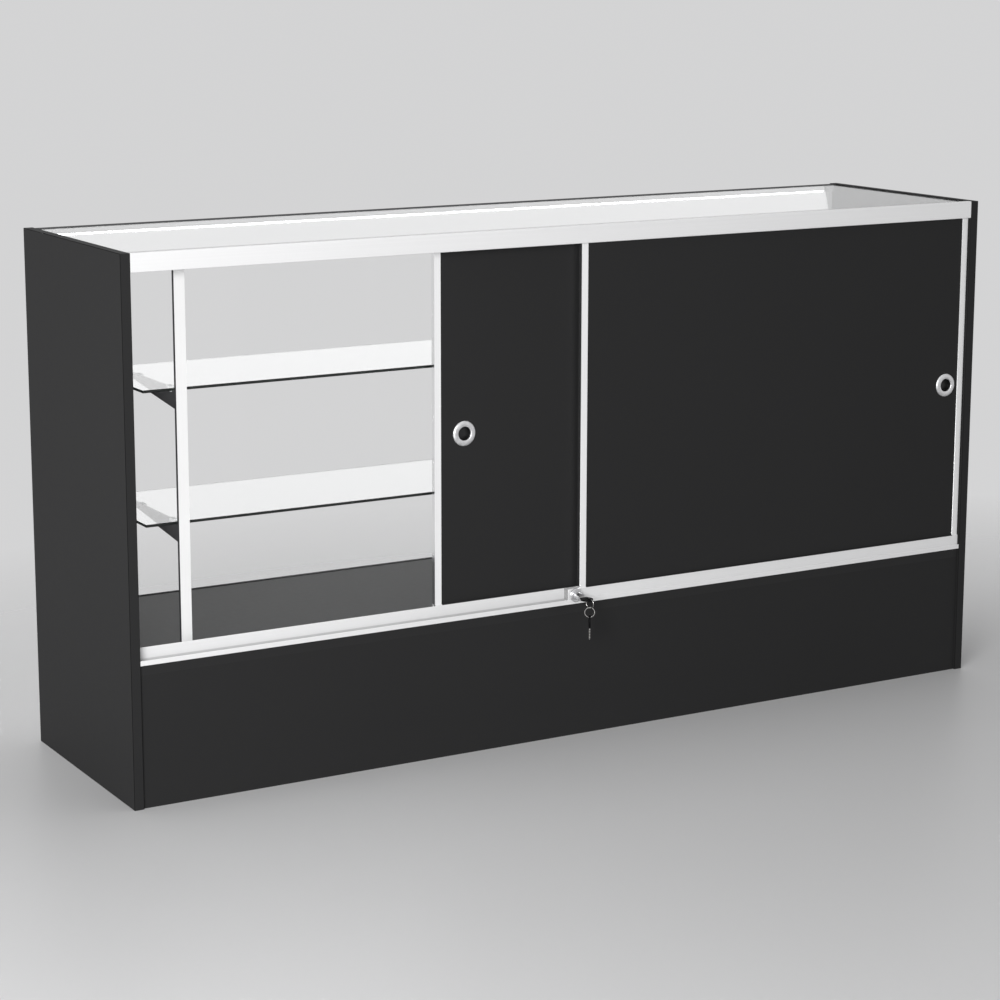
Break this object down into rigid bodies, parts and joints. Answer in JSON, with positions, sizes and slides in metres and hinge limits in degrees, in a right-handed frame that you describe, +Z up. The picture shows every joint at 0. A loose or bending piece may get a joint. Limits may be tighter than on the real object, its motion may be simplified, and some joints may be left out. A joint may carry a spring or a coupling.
{
  "type": "display counter",
  "caption": "Glass display counter with black board ends and base, bypass sliding rear doors on rollers, push lock with keys, adjustable glass shelves and a light bar.",
  "frame": {"origin": "on the floor under the middle of the counter", "axes": "+X along the counter to the right as seen from the service side, -Y towards the service side with the doors, +Z up"},
  "size_m": [1.828, 0.5233, 0.965],
  "materials": {
    "black_board": "black melamine, low sheen",
    "raw_timber": "planed softwood",
    "clear_glass": "clear toughened, polished edges",
    "satin_aluminium": "satin silver anodised",
    "white_steel": "white powder coat",
    "grey_steel": "dark grey powder coat",
    "clear_rubber": "soft translucent",
    "lamp_lens": "opal diffuser, lit",
    "grey_plastic": "moulded",
    "bright_chrome": "polished plate",
    "black_plastic": "moulded black",
    "nylon": "natural nylon",
    "key_steel": "nickel plated"
  },
  "bodies": {
    "counter": {"left_end_panel": "black_board", "right_end_panel": "black_board", "deck_board": "black_board", "rear_kick_panel": "black_board", "front_kick_panel": "black_board", "centre_support": "black_board", "deck_cleats": "raw_timber", "glass_top": "clear_glass", "glass_front": "clear_glass", "upper_glass_shelf": "clear_glass", "lower_glass_shelf": "clear_glass", "top_rear_rail": "satin_aluminium", "top_front_rail": "satin_aluminium", "bottom_door_track": "satin_aluminium", "front_bottom_channel": "satin_aluminium", "left_front_channel": "satin_aluminium", "right_front_channel": "satin_aluminium", "left_standard": "white_steel", "centre_standard": "white_steel", "right_standard": "white_steel", "upper_shelf_brackets": "grey_steel", "lower_shelf_brackets": "grey_steel", "shelf_pads": "clear_rubber", "light_channel": "satin_aluminium", "light_diffuser": "lamp_lens", "light_end_caps": "grey_plastic", "top_glass_gaskets": "clear_rubber"},
    "left_door": {"left_door_panel": "black_board", "left_door_left_trim": "satin_aluminium", "left_door_right_trim": "satin_aluminium", "left_door_head": "satin_aluminium", "left_door_shoe": "satin_aluminium", "left_door_pull_ring": "bright_chrome", "left_door_pull_cup": "black_plastic"},
    "left_door_left_roller": {"left_door_left_roller": "nylon"},
    "left_door_right_roller": {"left_door_right_roller": "nylon"},
    "right_door": {"right_door_panel": "black_board", "right_door_left_trim": "satin_aluminium", "right_door_right_trim": "satin_aluminium", "right_door_head": "satin_aluminium", "right_door_shoe": "satin_aluminium", "right_door_pull_ring": "bright_chrome", "right_door_pull_cup": "black_plastic", "lock_case": "satin_aluminium"},
    "right_door_left_roller": {"right_door_left_roller": "nylon"},
    "right_door_right_roller": {"right_door_right_roller": "nylon"},
    "lock_barrel": {"lock_barrel": "bright_chrome"},
    "key": {"lock_plug": "bright_chrome", "key_blade": "key_steel", "key_bow": "black_plastic"},
    "key_bunch": {"key_ring_upper": "key_steel", "key_ring_lower": "key_steel", "spare_key_bow": "black_plastic", "spare_key_blade": "key_steel"}
  },
  "joints": [
    {"name": "left_door_slide", "type": "slide", "parent": "counter", "child": "left_door", "axis": [1, 0, 0], "range_m": [-0.5845, 0.29875]},
    {"name": "right_door_slide", "type": "slide", "parent": "counter", "child": "right_door", "axis": [1, 0, 0], "range_m": [-0.8557, 0]},
    {"name": "left_door_left_roller_spin", "type": "hinge", "parent": "left_door", "child": "left_door_left_roller", "pos_m": [-0.25, -0.20325, 0.2668], "axis": [0, 1, 0], "continuous": true},
    {"name": "left_door_right_roller_spin", "type": "hinge", "parent": "left_door", "child": "left_door_right_roller", "pos_m": [0.53575, -0.20325, 0.2668], "axis": [0, 1, 0], "continuous": true},
    {"name": "right_door_left_roller_spin", "type": "hinge", "parent": "right_door", "child": "right_door_left_roller", "pos_m": [0.04875, -0.22125, 0.2668], "axis": [0, 1, 0], "continuous": true},
    {"name": "right_door_right_roller_spin", "type": "hinge", "parent": "right_door", "child": "right_door_right_roller", "pos_m": [0.8345, -0.22125, 0.2668], "axis": [0, 1, 0], "continuous": true},
    {"name": "lock_push", "type": "slide", "parent": "right_door", "child": "lock_barrel", "axis": [0, 1, 0], "range_m": [0, 0.009], "stiffness_N_per_m": 200},
    {"name": "key_turn", "type": "hinge", "parent": "lock_barrel", "child": "key", "pos_m": [-0.02275, -0.253, 0.2726], "axis": [0, 1, 0], "range_deg": [0, 45]},
    {"name": "keys_swing", "type": "hinge", "parent": "key", "child": "key_bunch", "pos_m": [-0.02275, -0.2805, 0.2726], "axis": [0.2419, -0.9703, 0], "range_deg": [-25, 25]}
  ],
  "couplings": [
    {"joint": "left_door_left_roller_spin", "follows": "left_door_slide", "rad_per_m": 181.82},
    {"joint": "left_door_right_roller_spin", "follows": "left_door_slide", "rad_per_m": 181.82},
    {"joint": "right_door_left_roller_spin", "follows": "right_door_slide", "rad_per_m": 181.82},
    {"joint": "right_door_right_roller_spin", "follows": "right_door_slide", "rad_per_m": 181.82}
  ]
}
